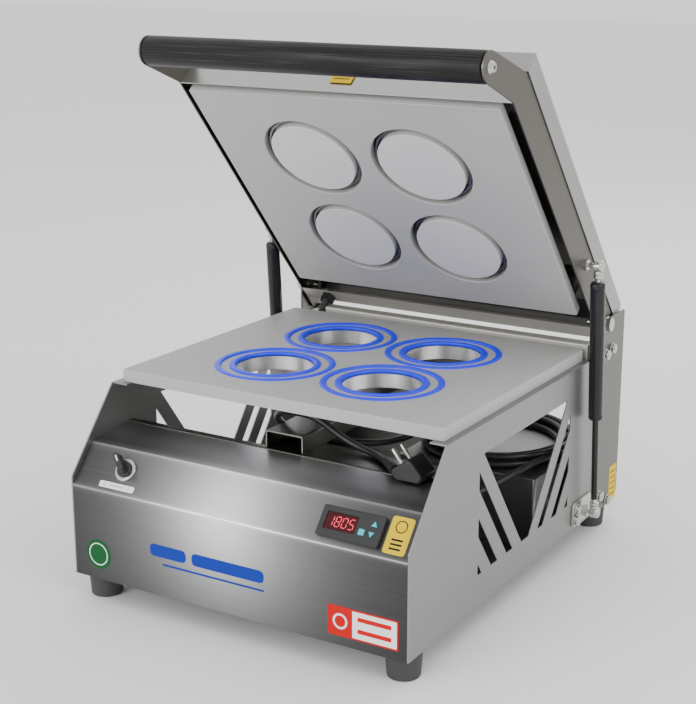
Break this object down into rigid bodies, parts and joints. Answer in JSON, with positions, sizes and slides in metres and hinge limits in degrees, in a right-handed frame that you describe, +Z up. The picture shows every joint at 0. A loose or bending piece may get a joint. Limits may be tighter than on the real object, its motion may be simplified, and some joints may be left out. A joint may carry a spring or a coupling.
{
  "type": "cup sealing machine",
  "caption": "Bench-top cup sealing machine with a gas-sprung press lid, a tray of cup holes with silicone seal rings and a slanted control panel.",
  "frame": {"origin": "on the bench, under the middle of the machine", "axes": "+X to the operator's right, +Y to the back, +Z up; the lid is open at rest"},
  "size_m": [0.509, 0.5824, 0.6584],
  "materials": {
    "satin_steel": "satin stainless sheet",
    "upright_steel": "satin stainless sheet, darker finish",
    "lid_steel": "brushed stainless sheet, darker finish",
    "press_paint": "matte light grey coating",
    "brushed_panel": "brushed along its length",
    "satin_aluminium": "turned, satin",
    "cutter_steel": "ground",
    "bright_zinc": "bright zinc plate",
    "black_coat": "black satin coat",
    "blue_silicone": "satin silicone",
    "black_rubber": "matte",
    "black_plastic": "fine grained",
    "display_window": "dark red tinted",
    "key_rubber": "soft touch",
    "switch_ring": "satin",
    "insulation": "pressed fibre board",
    "cord_jacket": "satin"
  },
  "bodies": {
    "root": {"side_plate_left": "satin_steel", "side_plate_right": "satin_steel", "rear_upright_left": "upright_steel", "rear_upright_right": "upright_steel", "control_panel": "brushed_panel", "floor_pan": "satin_steel", "rear_panel": "satin_steel", "front_cross_bar": "satin_steel", "channel_rail": "satin_steel", "rear_cross_bar": "upright_steel", "electrical_enclosure": "satin_steel", "power_relay": "black_plastic", "feet_front": "black_rubber", "feet_rear": "black_rubber", "tray_plate": "press_paint", "cup_collar_1": "satin_aluminium", "cup_collar_2": "satin_aluminium", "cup_collar_3": "satin_aluminium", "cup_collar_4": "satin_aluminium", "outer_seal_rings": "blue_silicone", "inner_seal_rings": "blue_silicone", "hinge_fasteners": "bright_zinc", "frame_bolts": "bright_zinc", "spring_brackets": "bright_zinc", "lower_ball_studs": "bright_zinc", "controller_case": "black_plastic", "controller_bezel": "black_plastic", "controller_window": "display_window", "selector_ring": "switch_ring", "selector_body": "black_plastic", "conduit": "black_plastic", "conduit_fitting_base": "black_plastic", "cord_gland": "black_plastic", "cord_lead_in": "cord_jacket", "cord_lead_out": "cord_jacket", "cord_coil": "cord_jacket", "mains_plug": "cord_jacket"},
    "lid": {"lid_shell": "satin_steel", "lid_side_left": "lid_steel", "lid_side_right": "lid_steel", "lid_front_strip": "satin_steel", "lid_rear_wall": "upright_steel", "upper_plate": "press_paint", "sealing_discs": "press_paint", "ring_cutters": "cutter_steel", "heating_elements": "cutter_steel", "insulation_board": "insulation", "carrier_beams": "satin_aluminium", "handle_bar": "black_coat", "handle_screws": "bright_zinc", "upper_ball_studs": "bright_zinc", "conduit_fitting_lid": "black_plastic"},
    "spring_tube_left": {"gas_spring_tube_left": "black_coat"},
    "spring_tube_right": {"gas_spring_tube_right": "black_coat"},
    "spring_rod_left": {"gas_spring_rod_left": "black_coat"},
    "spring_rod_right": {"gas_spring_rod_right": "black_coat"},
    "selector": {"selector_knob": "black_plastic"},
    "set_key": {"key_set": "key_rubber"},
    "up_key": {"key_up": "key_rubber"},
    "down_key": {"key_down": "key_rubber"}
  },
  "joints": [
    {"name": "lid_hinge", "type": "hinge", "parent": "root", "child": "lid", "pos_m": [0, 0.22096, 0.291], "axis": [1, 0, 0], "range_deg": [0, 49.2], "deforming": ["conduit"]},
    {"name": "spring_upper_left", "type": "hinge", "parent": "lid", "child": "spring_tube_left", "pos_m": [-0.245, 0.15454, 0.38096], "axis": [1, 0, 0], "range_deg": [-37.5, 0]},
    {"name": "spring_lower_left", "type": "hinge", "parent": "root", "child": "spring_rod_left", "pos_m": [-0.245, 0.17776, 0.0475], "axis": [1, 0, 0], "range_deg": [0, 11.9]},
    {"name": "spring_upper_right", "type": "hinge", "parent": "lid", "child": "spring_tube_right", "pos_m": [0.245, 0.15454, 0.38096], "axis": [1, 0, 0], "range_deg": [-37.5, 0]},
    {"name": "spring_lower_right", "type": "hinge", "parent": "root", "child": "spring_rod_right", "pos_m": [0.245, 0.17776, 0.0475], "axis": [1, 0, 0], "range_deg": [0, 11.9]},
    {"name": "selector_turn", "type": "hinge", "parent": "root", "child": "selector", "pos_m": [-0.161, -0.27229, 0.16766], "axis": [0, -0.7685, 0.6398], "range_deg": [-90, 0]},
    {"name": "set_key_press", "type": "slide", "parent": "root", "child": "set_key", "axis": [0, 0.7685, -0.6398], "range_m": [0, 0.0008], "stiffness_N_per_m": 800},
    {"name": "up_key_press", "type": "slide", "parent": "root", "child": "up_key", "axis": [0, 0.7685, -0.6398], "range_m": [0, 0.0008], "stiffness_N_per_m": 800},
    {"name": "down_key_press", "type": "slide", "parent": "root", "child": "down_key", "axis": [0, 0.7685, -0.6398], "range_m": [0, 0.0008], "stiffness_N_per_m": 800}
  ],
  "couplings": [
    {"joint": "spring_upper_left", "follows": "lid_hinge", "ratio": -0.76},
    {"joint": "spring_lower_left", "follows": "lid_hinge", "ratio": 0.24},
    {"joint": "spring_upper_right", "follows": "lid_hinge", "ratio": -0.76},
    {"joint": "spring_lower_right", "follows": "lid_hinge", "ratio": 0.24}
  ]
}
